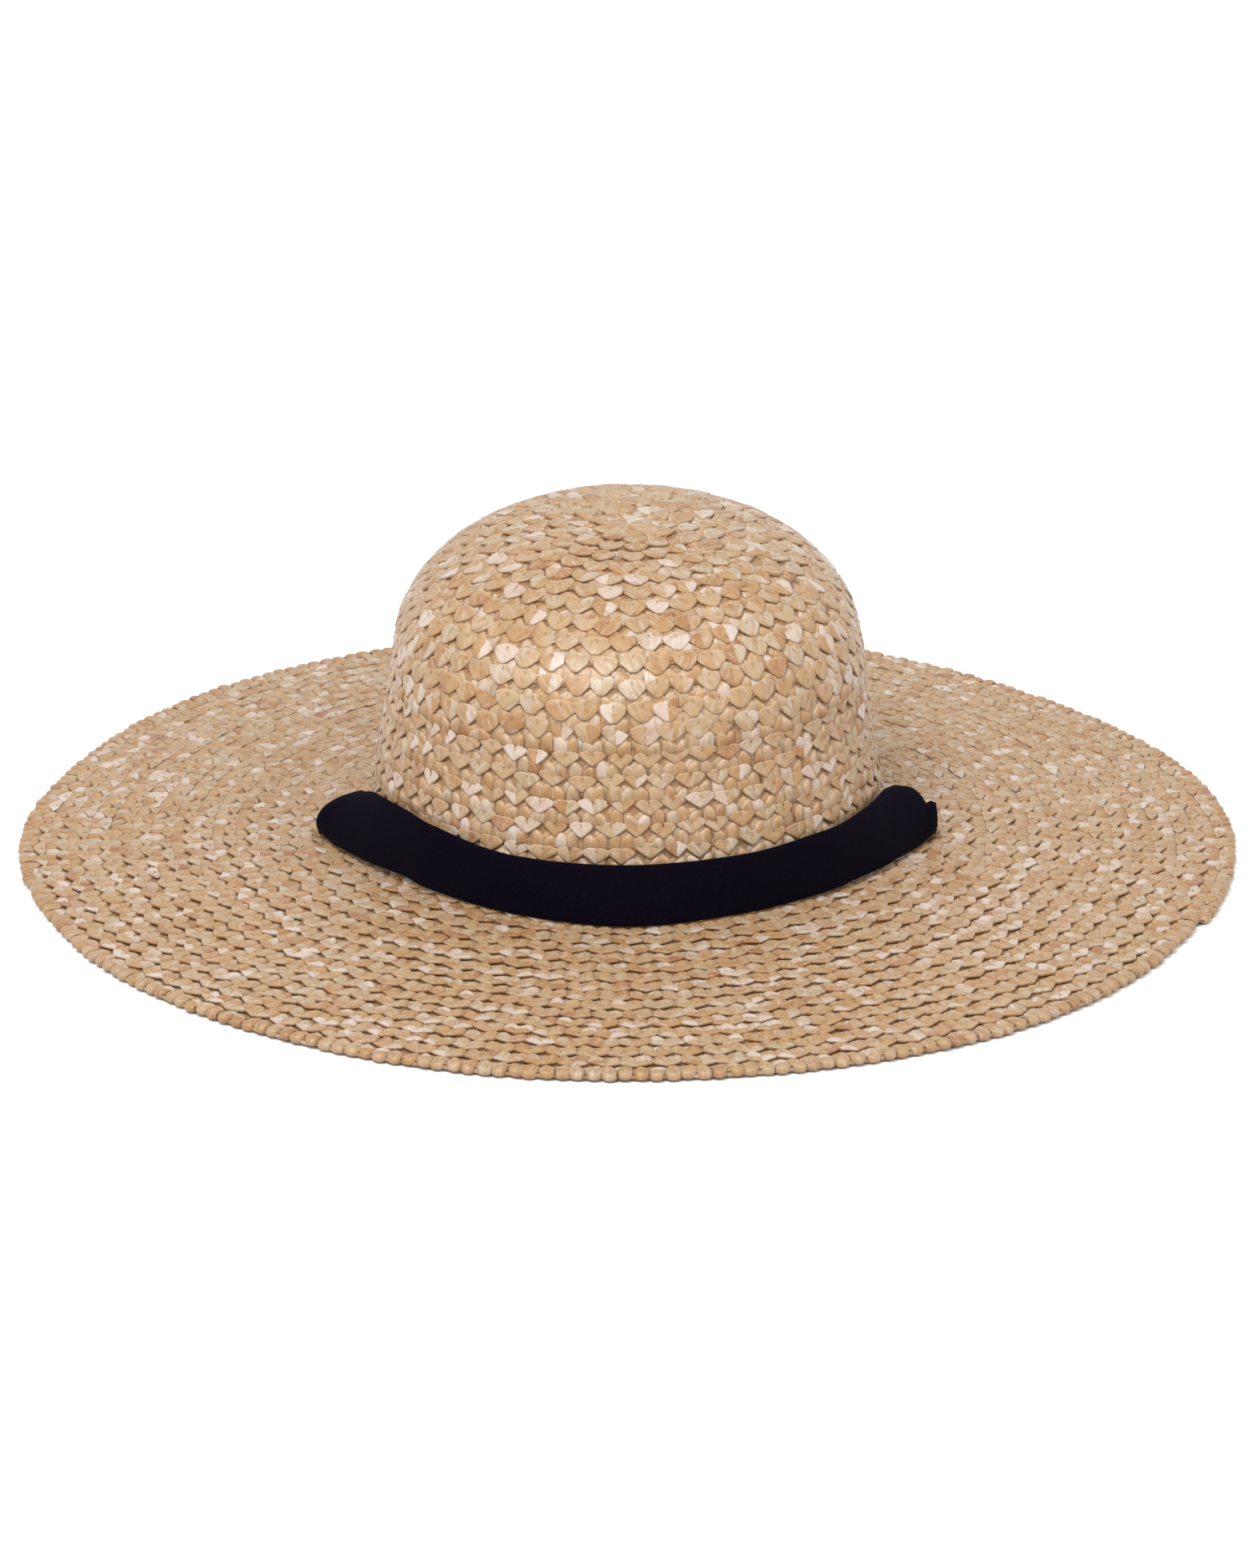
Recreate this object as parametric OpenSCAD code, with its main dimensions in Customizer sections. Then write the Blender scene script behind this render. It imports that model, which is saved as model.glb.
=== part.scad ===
// Wide-brimmed straw sun hat, sewn from one long straw plait, with a velvet ribbon.
// It stands on the edge of its brim. Its front faces -Y, +X is the wearer's left, +Z is up.
// The hat is longer from front to back than across, as a head is: its front and back are
// half circles, and head_stretch lies straight between them. Radii are those half circles'.

/* [Head] */
// Inside width of the head opening, ear to ear
head_w = 176; // [160:1:190]
// How much longer the hat is from front to back than across
head_stretch = 11; // [2:1:24]

/* [Crown] */
// Height of the whole hat, from the surface it stands on
hat_h = 123; // [110:1:150]
// Height at which the side of the crown turns into its domed top
shoulder_h = 67; // [60:1:80]
// How far the side of the crown leans in, from the foot to the shoulder
crown_lean = 8.5; // [4:0.5:12]
// Squareness of the shoulder: 2 is an ellipse, larger is squarer
shoulder_power = 2.4; // [2:0.1:3]

/* [Brim] */
// Distance from the middle of the hat to the edge of the brim, out to the side
brim_r = 218; // [180:1:240]
// Height of the foot of the crown above the edge of the brim
brim_rise = 7.5; // [6:0.5:20]
// Radius of the bend where the crown turns out into the brim
foot_bend_r = 5; // [4:0.5:8]

/* [Straw plait] */
// Thickness of the sewn straw under the edge of each turn
plait_t = 2.6; // [2.2:0.1:3.5]
// Height of the step where one turn of plait overlaps the next
turn_step = 1.1; // [1:0.1:1.2]
// Distance from one turn to the next over the domed top of the crown
dome_pitch = 9.5; // [8.5:0.1:9.5]
// Turns of plait in the domed top of the crown
dome_turns = 11; // [9:1:11]
// Turns of plait in the side of the crown
side_turns = 8; // [6:1:9]
// Turns of plait in the brim
brim_turns = 16; // [12:1:18]
// Thickness of the doubled turn at the edge of the brim
edge_t = 3.6; // [3.5:0.1:5]
// Thickness of the sewing thread
thread_t = 0.5; // [0.4:0.1:0.6]

/* [Ribbon] */
// Width of the velvet ribbon
ribbon_w = 22; // [18:1:26]
// Thickness of the velvet ribbon
ribbon_t = 1; // [0.8:0.1:1.4]
// How far the ribbon leans out from upright
ribbon_lean = 12; // [8:1:20]
// How far round from the front each end of the ribbon goes down through the brim
ribbon_turn = 86; // [60:1:88]
// Length of each end of the ribbon under the brim
ribbon_end_l = 30; // [20:1:45]

/* [Sweatband] */
// Height of the band sewn inside the head opening
sweatband_h = 28; // [20:1:35]
// Thickness of the band
sweatband_t = 0.9; // [0.7:0.1:1.5]
// Number of stitches that hold the band
sweatband_stitches = 60; // [30:2:90]

/* [Hidden] */
$fn = 180;

straw = "burlywood";
straw_thread = "tan";
velvet = "#15121b";
velvet_thread = "#2a2630";
grosgrain = "#c9b08a";

fit = 0.3;          // space between pieces that lie on each other
snug = 0.05;        // space round a piece that is sewn into a slot
skin = plait_t / 2 + turn_step / 2;  // furthest that the straw reaches off its middle line

// The line that the sewn plait follows, from the middle of the crown to the edge of the
// brim: a domed top, a leaning side, a bend at the foot and a sloping brim.
foot_r = head_w / 2 + sweatband_t + fit + plait_t;
shoulder_r = foot_r - crown_lean;
side_lean = atan2(crown_lean, shoulder_h - brim_rise);
brim_slope = atan2(brim_rise, brim_r - foot_r);
dome_h = hat_h - skin - shoulder_h;
dome_steps = 48;
bend_steps = 6;
bend_centre = [foot_r + foot_bend_r, brim_rise + foot_bend_r];
bend_sweep = 90 - brim_slope - side_lean;

function dome_point(a) = [
    shoulder_r * pow(sin(a), 2 / shoulder_power),
    shoulder_h + dome_h * pow(cos(a), 2 / shoulder_power)
];
function bend_point(a) = bend_centre - foot_bend_r * [cos(a), sin(a)];

path = concat(
    [for (i = [0 : dome_steps]) dome_point(90 * i / dome_steps)],
    [for (i = [0 : bend_steps]) bend_point(side_lean + bend_sweep * i / bend_steps)],
    [[brim_r, edge_t / 2]]
);
path_ends = len(path) - 1;

// Distance along the line to each of its points, and the tables that turn it into a place.
function distances(p, i = 0, s = 0) = i == len(p) - 1 ? [s]
    : concat([s], distances(p, i + 1, s + norm(p[i + 1] - p[i])));
path_s = distances(path);
radius_at = [for (i = [0 : path_ends]) [path_s[i], path[i][0]]];
height_at = [for (i = [0 : path_ends]) [path_s[i], path[i][1]]];
path_len = path_s[path_ends];
foot_s = path_s[dome_steps + 1 + bend_steps / 2];

function at(s) = [lookup(s, radius_at), lookup(s, height_at)];
function heading(s) =
    let (d = at(min(s + 1, path_len)) - at(max(s - 1, 0))) d / norm(d);
// A point that is "up" off the line, on its outer or upper side.
function off(s, up) =
    let (h = s > 0 ? heading(s) : [1, 0], p = at(s)) [p[0] - up * h[1], p[1] + up * h[0]];

// Where each turn of the plait starts, along the line.
crown_turns = dome_turns + side_turns;
turns = crown_turns + brim_turns;
dome_s = dome_turns * dome_pitch;
side_pitch = (foot_s - dome_s) / side_turns;
brim_pitch = (path_len - foot_s) / brim_turns;
function turn_s(i) =
    i <= dome_turns ? i * dome_pitch
    : i <= crown_turns ? dome_s + (i - dome_turns) * side_pitch
    : foot_s + (i - crown_turns) * brim_pitch;

// The turns at which each zone of the hat ends.
button_end = 2;
tip_end = 6;
shoulder_end = dome_turns;
upper_side_end = dome_turns + round(side_turns / 2);
lower_side_end = crown_turns - 1;
foot_end = crown_turns + 1;
inner_end = crown_turns + round(brim_turns / 3);
middle_end = crown_turns + round(brim_turns * 2 / 3);
outer_end = turns - 1;

// The ribbon stands against the crown round the front, with its lower edge on the brim.
front = -90;
ribbon_lift = skin + 2 * fit;
ribbon_low_z = brim_rise + skin + fit;
ribbon_high_z = ribbon_low_z + ribbon_w * cos(ribbon_lean);
ribbon_high_r = foot_r - (ribbon_high_z - brim_rise) * tan(side_lean) + ribbon_lift;
ribbon_a = [ribbon_high_r, ribbon_high_z];
ribbon_b = ribbon_a + ribbon_w * [sin(ribbon_lean), -cos(ribbon_lean)];
ribbon_out = ribbon_t * [cos(ribbon_lean), sin(ribbon_lean)];

// At each end it goes down through a lined slit that runs outwards through the brim, and
// lies back under the brim.
lining_t = 0.7;
lining_up = skin + 0.2;
slit_w = ribbon_t + 2 * (fit + lining_t);
fold_start_s = foot_s + foot_bend_r;
fold_end_s = fold_start_s + 0.8 * ribbon_w;
slit_start_s = fold_start_s - lining_t - fit;
slit_end_s = fold_end_s + lining_t + fit;
fold_lift = -(ribbon_lift + ribbon_t);
fold_sweep = ribbon_end_l / (foot_r + ribbon_w / 2) * 180 / PI;
tacks = 5;
tack_l = 3;

// The plait's end, sewn along the edge: a crescent between two circles.
tail_w = 3.5;
tail_reach = 25;
tail_middle = -30;
tail_shift = tail_w / (1 - cos(tail_reach));
tail_t = 2.4;

// The band inside the head opening starts above the bend.
band_low_s = foot_s - foot_bend_r;
band_top_s = band_low_s - sweatband_h;
band_outer = -(skin + fit);
band_inner = band_outer - sweatband_t;
join_w = 12;

// Carries a profile all round the hat: a half turn at the front and at the back, and the
// straight stretch at each side.
module around() {
    for (end = [0, 1])
        rotate([0, 0, 180 * end]) translate([0, head_stretch / 2, 0])
            rotate_extrude(angle = 180) children();
    translate([0, head_stretch / 2, 0]) rotate([90, 0, 0])
        linear_extrude(head_stretch) {
            children();
            mirror([1, 0]) children();
        }
}

// The front half circle's middle, or the back one's.
module at_front() {
    translate([0, -head_stretch / 2, 0]) children();
}
module at_back() {
    translate([0, head_stretch / 2, 0]) children();
}

// The outline of a strip between two places on the line and two heights off it.
module section(s1, s2, low, high) {
    polygon([off(s1, high), off(s2, high), off(s2, low), off(s1, low)]);
}

// Part of a turn of such a strip.
module arc(s1, s2, low, high, from, sweep) {
    rotate([0, 0, from]) rotate_extrude(angle = sweep) section(s1, s2, low, high);
}

// A flat plate that stands across the line, "thick" wide along the turns of the plait.
module plate(outline, thick, direction) {
    rotate([0, 0, direction])
        translate([0, thick / 2, 0])
            rotate([90, 0, 0])
                linear_extrude(thick) polygon(outline);
}

// Turns of plait sewn into one shell. Each turn starts under the one before it, and its
// own outer edge stands proud of the turn that follows.
module sewn_turns(first, last) {
    half = plait_t / 2;
    step = turn_step / 2;
    upper = [for (i = [first : last - 1])
        each [off(turn_s(i), half - step), off(turn_s(i + 1), half + step)]];
    under = [for (i = [last - 1 : -1 : first])
        each [off(turn_s(i + 1), step - half), off(turn_s(i), -half - step)]];
    around() polygon(concat(upper, under));
}

// The space of one slit, or of its lining, and both slits as they are cut.
module slit_space(side, up, spare, width) {
    plate([
        off(slit_start_s - spare, up), off(slit_end_s + spare, up),
        off(slit_end_s + spare, -up), off(slit_start_s - spare, -up)
    ], width, front + side * ribbon_turn);
}

module slits(spare) {
    for (side = [-1, 1])
        at_front() slit_space(side, 2 * skin, spare, slit_w + 2 * spare);
}

module crown_button() {
    color(straw) sewn_turns(0, button_end);
}

module crown_tip() {
    color(straw) sewn_turns(button_end, tip_end);
}

module crown_shoulder() {
    color(straw) sewn_turns(tip_end, shoulder_end);
}

module crown_upper_side() {
    color(straw) sewn_turns(shoulder_end, upper_side_end);
}

module crown_lower_side() {
    color(straw) sewn_turns(upper_side_end, lower_side_end);
}

module crown_foot() {
    color(straw) difference() {
        sewn_turns(lower_side_end, foot_end);
        slits(snug);
    }
}

module brim_inner() {
    color(straw) difference() {
        sewn_turns(foot_end, inner_end);
        slits(snug);
    }
}

module brim_middle() {
    color(straw) sewn_turns(inner_end, middle_end);
}

module brim_outer() {
    color(straw) sewn_turns(middle_end, outer_end);
}

// The doubled turn at the edge. The hat stands on its flat underside.
module brim_edge() {
    s = turn_s(outer_end);
    round_off = 1;
    foot_w = 5;
    color(straw) around() polygon([
        off(s, plait_t / 2 - turn_step / 2),
        [brim_r - round_off, edge_t], [brim_r, edge_t - round_off],
        [brim_r, round_off], [brim_r - round_off, 0],
        [brim_r - foot_w, 0], off(s, -plait_t / 2 - turn_step / 2)
    ]);
}

// The tapered end of the plait, sewn along the outside of the edge.
module plait_tail() {
    color(straw) at_front() rotate([0, 0, tail_middle])
        translate([0, 0, (edge_t - tail_t) / 2]) difference() {
            translate([tail_shift, 0, 0]) cylinder(r = brim_r + tail_w - tail_shift, h = tail_t);
            translate([0, 0, -1]) cylinder(r = brim_r + snug, h = tail_t + 2);
        }
}

// A line of thread in the step at the edge of each turn.
module turn_threads(first, last) {
    low = plait_t / 2 - turn_step / 2 + fit;
    for (i = [first : last])
        around() section(turn_s(i) + fit, turn_s(i) + fit + thread_t, low, low + thread_t);
}

module crown_thread() {
    color(straw_thread) turn_threads(1, crown_turns - 1);
}

module brim_thread() {
    color(straw_thread) difference() {
        turn_threads(crown_turns + 1, outer_end);
        slits(fit);
    }
}

module slit_binding(side) {
    color(straw_thread) at_front() difference() {
        slit_space(side, lining_up, 0, slit_w);
        slit_space(side, 2 * skin, -lining_t, slit_w - 2 * lining_t);
    }
}

module slit_binding_left() {
    slit_binding(1);
}

module slit_binding_right() {
    slit_binding(-1);
}

module ribbon_band() {
    short = 0.4;
    turn = ribbon_turn - short;
    color(velvet) at_front() rotate([0, 0, front - turn])
        rotate_extrude(angle = 2 * turn)
            polygon([ribbon_a, ribbon_b, ribbon_b + ribbon_out, ribbon_a + ribbon_out]);
}

// One end of the ribbon: down through its slit, then back under the brim to the front.
module ribbon_end() {
    above = lining_up + fit;
    color(velvet) at_front() rotate([0, 0, front + ribbon_turn]) {
        plate([
            ribbon_a, ribbon_a + ribbon_out,
            off(fold_end_s, above), off(fold_end_s, fold_lift),
            off(fold_start_s, fold_lift), off(fold_start_s, above)
        ], ribbon_t, 0);
        translate([0, -ribbon_t / 2, 0])
            arc(fold_start_s, fold_end_s, fold_lift, fold_lift + ribbon_t,
                -fold_sweep, fold_sweep);
    }
}

module ribbon_end_left() {
    ribbon_end();
}

module ribbon_end_right() {
    mirror([1, 0, 0]) ribbon_end();
}

// Stitches across both ends of the ribbon, under the brim.
module ribbon_tacks() {
    spacing = (fold_end_s - fold_start_s) / tacks;
    sweep = fold_sweep * tack_l / ribbon_end_l;
    high = fold_lift - snug;
    color(velvet_thread) at_front()
        for (side = [-1, 1], i = [0 : tacks - 1]) {
            s = fold_start_s + (i + 0.5) * spacing;
            middle = front + side * (ribbon_turn - 0.8 * fold_sweep);
            arc(s, s + thread_t, high - thread_t, high, middle - sweep / 2, sweep);
        }
}

module sweatband() {
    color(grosgrain) around() section(band_top_s, band_low_s, band_inner, band_outer);
}

// The overlap at the back, where the two ends of the band meet.
module sweatband_join() {
    sweep = join_w / (head_w / 2) * 180 / PI;
    high = band_inner - snug;
    color(grosgrain) at_back()
        arc(band_top_s + 1, band_low_s - 4, high - sweatband_t, high, -front - sweep / 2, sweep);
}

module sweatband_thread() {
    step = 360 / sweatband_stitches;
    high = band_inner - snug;
    s = band_low_s - 2;
    color(straw_thread)
        for (end = [0, 1], i = [0 : sweatband_stitches / 2 - 1])
            rotate([0, 0, 180 * end]) at_back()
                arc(s - thread_t, s, high - thread_t, high, (i + 0.2) * step, 0.6 * step);
}

crown_button();
crown_tip();
crown_shoulder();
crown_upper_side();
crown_lower_side();
crown_foot();
brim_inner();
brim_middle();
brim_outer();
brim_edge();
plait_tail();
crown_thread();
brim_thread();
slit_binding_left();
slit_binding_right();
ribbon_band();
ribbon_end_left();
ribbon_end_right();
ribbon_tacks();
sweatband();
sweatband_join();
sweatband_thread();
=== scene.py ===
"""Looks of the straw sun hat: its sewn straw plait, velvet ribbon, sweatband and stitches."""

import math

import bpy
import numpy as np
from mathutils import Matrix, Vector


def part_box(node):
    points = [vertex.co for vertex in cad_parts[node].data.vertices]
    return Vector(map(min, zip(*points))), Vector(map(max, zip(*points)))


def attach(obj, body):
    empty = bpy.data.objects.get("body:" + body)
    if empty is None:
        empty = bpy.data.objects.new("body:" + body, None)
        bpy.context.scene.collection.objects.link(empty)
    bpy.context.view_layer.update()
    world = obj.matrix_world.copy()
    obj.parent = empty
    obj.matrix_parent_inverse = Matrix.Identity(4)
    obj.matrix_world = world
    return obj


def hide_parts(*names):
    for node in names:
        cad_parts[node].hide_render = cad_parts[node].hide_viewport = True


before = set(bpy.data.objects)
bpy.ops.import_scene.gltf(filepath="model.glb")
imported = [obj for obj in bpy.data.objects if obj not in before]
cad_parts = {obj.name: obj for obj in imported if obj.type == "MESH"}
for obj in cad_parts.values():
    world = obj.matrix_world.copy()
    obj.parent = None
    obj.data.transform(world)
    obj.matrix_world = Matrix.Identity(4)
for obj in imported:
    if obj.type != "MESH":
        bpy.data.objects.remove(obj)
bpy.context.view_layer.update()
rng = np.random.default_rng(7)
MM = 0.001

# ---------------------------------------------------------------- the line of the sewn plait
# As in the CAD source: a domed top, a leaning side, a bend at the foot and a sloping brim.
edge_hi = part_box("brim_edge")[1]
BRIM_R = edge_hi.x
HALF_STRETCH = edge_hi.y - edge_hi.x
HAT_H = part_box("crown_button")[1].z
EDGE_T = edge_hi.z
FOOT_R = 91.8 * MM
SHOULDER_R = 83.3 * MM
SHOULDER_H = 67 * MM
SHOULDER_POWER = 2.4
BRIM_RISE = 7.5 * MM
BEND_R = 5 * MM
SKIN = 1.85 * MM          # from the plait's middle line to its surface
DOME_H = HAT_H - SKIN - SHOULDER_H
DOME_TURNS, SIDE_TURNS, BRIM_TURNS = 13, 8, 16
DOME_LEN = 104.5 * MM
DOME_PITCH = DOME_LEN / DOME_TURNS
TURNS = DOME_TURNS + SIDE_TURNS + BRIM_TURNS
# The number of the last turn that stands for each CAD node, and the node.
ZONE_ENDS = [(2, "crown_button"), (7, "crown_tip"), (13, "crown_shoulder"),
             (17, "crown_upper_side"), (20, "crown_lower_side"), (22, "crown_foot"),
             (26, "brim_inner"), (32, "brim_middle"), (36, "brim_outer"), (37, "brim_edge")]
DOME_POINTS, BEND_POINTS = 240, 24


def make_path():
    """Points of the plait's middle line as radius and height, the distance along it, and that
    distance at the middle of the bend."""
    side_lean = math.atan2(FOOT_R - SHOULDER_R, SHOULDER_H - BRIM_RISE)
    brim_slope = math.atan2(BRIM_RISE, BRIM_R - FOOT_R)
    sweep = math.pi / 2 - brim_slope - side_lean
    a = np.linspace(0, math.pi / 2, DOME_POINTS)
    dome = np.stack([SHOULDER_R * np.sin(a) ** (2 / SHOULDER_POWER),
                     SHOULDER_H + DOME_H * np.cos(a).clip(0) ** (2 / SHOULDER_POWER)], 1)
    b = side_lean + sweep * np.linspace(0, 1, BEND_POINTS)
    centre = np.array([FOOT_R + BEND_R, BRIM_RISE + BEND_R])
    bend = centre - BEND_R * np.stack([np.cos(b), np.sin(b)], 1)
    line = np.concatenate([dome, bend, [[BRIM_R, EDGE_T / 2]]])
    steps = np.hypot(*np.diff(line, axis=0).T)
    s = np.concatenate([[0], np.cumsum(steps)])
    return line, s, s[DOME_POINTS + BEND_POINTS // 2]


PATH, PATH_S, FOOT_S = make_path()
PATH_LEN = PATH_S[-1]
DENSE_S = np.linspace(-2 * MM, PATH_LEN + 12 * MM, 4000)
CORNER_SPAN = 41          # how many of these points a corner's direction is smoothed over


def dense_line():
    """Radius, height and direction of the line at DENSE_S, which runs past both its ends."""
    inside = DENSE_S.clip(0, PATH_LEN)
    r = np.interp(inside, PATH_S, PATH[:, 0])
    z = np.interp(inside, PATH_S, PATH[:, 1])
    end = (PATH[-1] - PATH[-2]) / np.hypot(*(PATH[-1] - PATH[-2]))
    past = DENSE_S - inside
    r = r + np.where(past > 0, past * end[0], past)
    z = z + np.where(past > 0, past * end[1], 0)
    kernel = np.hanning(CORNER_SPAN)
    kernel /= kernel.sum()
    dr, dz = np.gradient(r), np.gradient(z)
    dr = np.convolve(np.pad(dr, CORNER_SPAN // 2, "edge"), kernel, "valid")
    dz = np.convolve(np.pad(dz, CORNER_SPAN // 2, "edge"), kernel, "valid")
    size = np.hypot(dr, dz)
    return r, z, dr / size, dz / size


DENSE_R, DENSE_Z, DENSE_DR, DENSE_DZ = dense_line()


def off(s, up):
    """Radius and height of the point that is up off the line, at distance s along it."""
    r = np.interp(s, DENSE_S, DENSE_R)
    z = np.interp(s, DENSE_S, DENSE_Z)
    dr = np.interp(s, DENSE_S, DENSE_DR)
    dz = np.interp(s, DENSE_S, DENSE_DZ)
    return r - up * dz, z + up * dr


def turn_s(i):
    """Where turn i starts along the line."""
    crown = DOME_TURNS + SIDE_TURNS
    if i <= DOME_TURNS:
        return i * DOME_PITCH
    if i <= crown:
        return DOME_LEN + (i - DOME_TURNS) * (FOOT_S - DOME_LEN) / SIDE_TURNS
    return FOOT_S + (i - crown) * (PATH_LEN - FOOT_S) / BRIM_TURNS


END_AT = math.radians(-19.5)          # direction of the plait's outer end, seen from above


def around(phi, r0):
    """Cosine, sine and straight offset at share phi of a clockwise turn of middle radius r0.
    The hat is two half circles with a straight stretch between them at each side."""
    straight = 2 * HALF_STRETCH
    length = 2 * math.pi * r0 + 2 * straight
    # distance anticlockwise from the middle of the +X side
    start = END_AT * r0 - HALF_STRETCH
    w = np.mod(start - phi * length + HALF_STRETCH, length) - HALF_STRETCH
    half = math.pi * r0
    theta = np.where(w < HALF_STRETCH, 0.0,
                     np.where(w < HALF_STRETCH + half, (w - HALF_STRETCH) / r0,
                              np.where(w < HALF_STRETCH + half + straight, math.pi,
                                       (w - HALF_STRETCH - straight) / r0)))
    shift = np.where(w < HALF_STRETCH, w,
                     np.where(w < HALF_STRETCH + half, HALF_STRETCH,
                              np.where(w < HALF_STRETCH + half + straight,
                                       half + 2 * HALF_STRETCH - w, -HALF_STRETCH)))
    return np.cos(theta), np.sin(theta), shift


def smooth(x, low, high):
    """0 below low, 1 above high, smooth between them."""
    t = np.clip((x - low) / (high - low), 0, 1)
    return t * t * (3 - 2 * t)


# Where the edge of the brim stands in from an even outline: direction in degrees anticlockwise
# from +X, spread in degrees, and depth, which is below 0 where it stands out.
BRIM_DIPS = [(45, 24, 6.2 * MM), (158, 14, 2.2 * MM), (202, 14, 2.2 * MM), (232, 20, 3.0 * MM),
             (275, 26, 2.6 * MM), (338, 18, 3.6 * MM), (181, 9, -1.5 * MM)]
WAVE_SIDE = 0.6 * MM      # the small waves in the crown, sideways and up
WAVE_UP = 0.8 * MM
BACK_LIFT = 0.042         # how much higher the dome gets towards the back
APEX_SHIFT = 5 * MM       # how far its middle lies forward


def warp(p):
    """The unevenness of the hand-sewn hat: waves, a fuller back of the dome, an uneven edge."""
    x, y, z = p[..., 0], p[..., 1], p[..., 2]
    crown = np.clip((z - 20 * MM) / (100 * MM), 0, 1)
    dome = smooth(z, 70 * MM, 120 * MM)
    dx = WAVE_SIDE * np.sin(31 * y + 17 * z) * crown
    dy = WAVE_SIDE * np.sin(27 * x - 21 * z + 1) * crown
    dz = WAVE_UP * np.sin(23 * x + 1.3) * np.sin(19 * y + 0.4) * crown
    r, a = np.hypot(x, y), np.degrees(np.arctan2(y, x)) % 360
    dr = -sum(depth * np.exp(-((a - at) / spread) ** 2) for at, spread, depth in BRIM_DIPS)
    dr = dr * smooth(r, 120 * MM, 218 * MM) / r.clip(10 * MM)
    dx, dy = dx + x * dr, dy + y * dr
    dy = dy - APEX_SHIFT * dome * np.exp(-(x ** 2 + y ** 2) / (35 * MM) ** 2)
    dz = dz + dome * (BACK_LIFT * y.clip(-30 * MM, 60 * MM) + 0.4 * MM)
    return np.stack([x + dx, y + dy, z + dz], -1)


def place(s, up, phi, r0):
    """Points of the hat for distance along the line, height off it and share of a turn."""
    c, sn, shift = around(phi, r0)
    r, z = off(s, up)
    return warp(np.stack([r * c, r * sn + shift, z], -1))


# ---------------------------------------------------------------- meshes
def add_mesh(name, verts, faces, attributes=()):
    """A mesh object from arrays. attributes are (name, type, values per vertex)."""
    mesh = bpy.data.meshes.new(name)
    faces = np.asarray(faces, np.int32)
    sides = faces.shape[1]
    mesh.vertices.add(len(verts))
    mesh.vertices.foreach_set("co", np.asarray(verts, np.float32).ravel())
    mesh.loops.add(faces.size)
    mesh.loops.foreach_set("vertex_index", faces.ravel())
    mesh.polygons.add(len(faces))
    mesh.polygons.foreach_set("loop_start", np.arange(0, faces.size, sides, dtype=np.int32))
    mesh.update(calc_edges=True)
    mesh.polygons.foreach_set("use_smooth", np.ones(len(faces), bool))
    for label, kind, values in attributes:
        a = mesh.attributes.new(label, kind, "POINT")
        key = "vector" if kind == "FLOAT_VECTOR" else "value"
        a.data.foreach_set(key, np.asarray(values, np.float32).ravel())
    mesh.validate()
    obj = bpy.data.objects.new(name, mesh)
    bpy.context.scene.collection.objects.link(obj)
    return obj


def grid_patch(cols, rows):
    """A patch of cols by rows points with a skirt round it: x, y, skirt and faces."""
    x, y = np.meshgrid(np.asarray(cols, float), np.asarray(rows, float))
    nc, nr = len(cols), len(rows)
    idx = np.arange(nc * nr).reshape(nr, nc)
    quads = np.stack([idx[:-1, :-1], idx[:-1, 1:], idx[1:, 1:], idx[1:, :-1]], -1).reshape(-1, 4)
    ring = np.concatenate([idx[0, :-1], idx[:-1, -1], idx[-1, :0:-1], idx[:0:-1, 0]])
    n = nc * nr
    low = n + np.arange(len(ring))
    nxt = np.roll(np.arange(len(ring)), -1)
    skirt_quads = np.stack([ring, low, low[nxt], ring[nxt]], -1)
    px = np.concatenate([x.ravel(), x.ravel()[ring]])
    py = np.concatenate([y.ravel(), y.ravel()[ring]])
    skirt = np.concatenate([np.zeros(n), np.ones(len(ring))])
    return px, py, skirt, np.concatenate([quads, skirt_quads])


PETAL = grid_patch([-1, -0.85, -0.55, -0.2, 0.2, 0.55, 0.85, 1],
                   [0, 0.05, 0.14, 0.3, 0.5, 0.75, 1])
FACET = grid_patch([-1, -0.87, -0.6, -0.3, -0.09, -0.02, 0.02, 0.09, 0.3, 0.6, 0.87, 1],
                   [0, 0.06, 0.14, 0.24, 0.4, 0.62, 0.82, 0.94, 1])
UNDER_PETAL = grid_patch([-1, -0.6, 0, 0.6, 1], [0, 0.2, 1])
UNDER_FACET = grid_patch([-1, -0.6, -0.03, 0.03, 0.6, 1], [0, 0.15, 0.5, 0.9, 1])


def petal_points(shape, centre, side, width, pitch, wobble, height=1.0):
    """Across, along and up of petals. side is 1 where the seam of its arch is on the right."""
    x, y, skirt, _ = shape
    dx, dy, dz, wider, tilt = wobble[:, :, None]
    k = x[None] * side[:, None]
    seam, notch = (1 + k) / 2, (1 - k) / 2
    top = (-0.9 + 3.7 * notch ** 1.9 + 1.7 * seam ** 4) * MM + 1.5 * dy
    low = pitch - 2.0 * MM
    half = width / 4 * 1.05
    across = centre[:, None] + half * x[None] * (1 + wider) + dx
    along = top + (low - top) * y[None]
    rise = 1 - np.exp(-y / 0.13)
    body = 1.2 * MM * rise * (1 - 0.85 * np.abs(x) ** 2.1) * (1 - 0.9 * y ** 2)
    up = height * body[None] + dz + tilt * x[None] - skirt * 1.0 * MM
    return across, along, up


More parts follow.
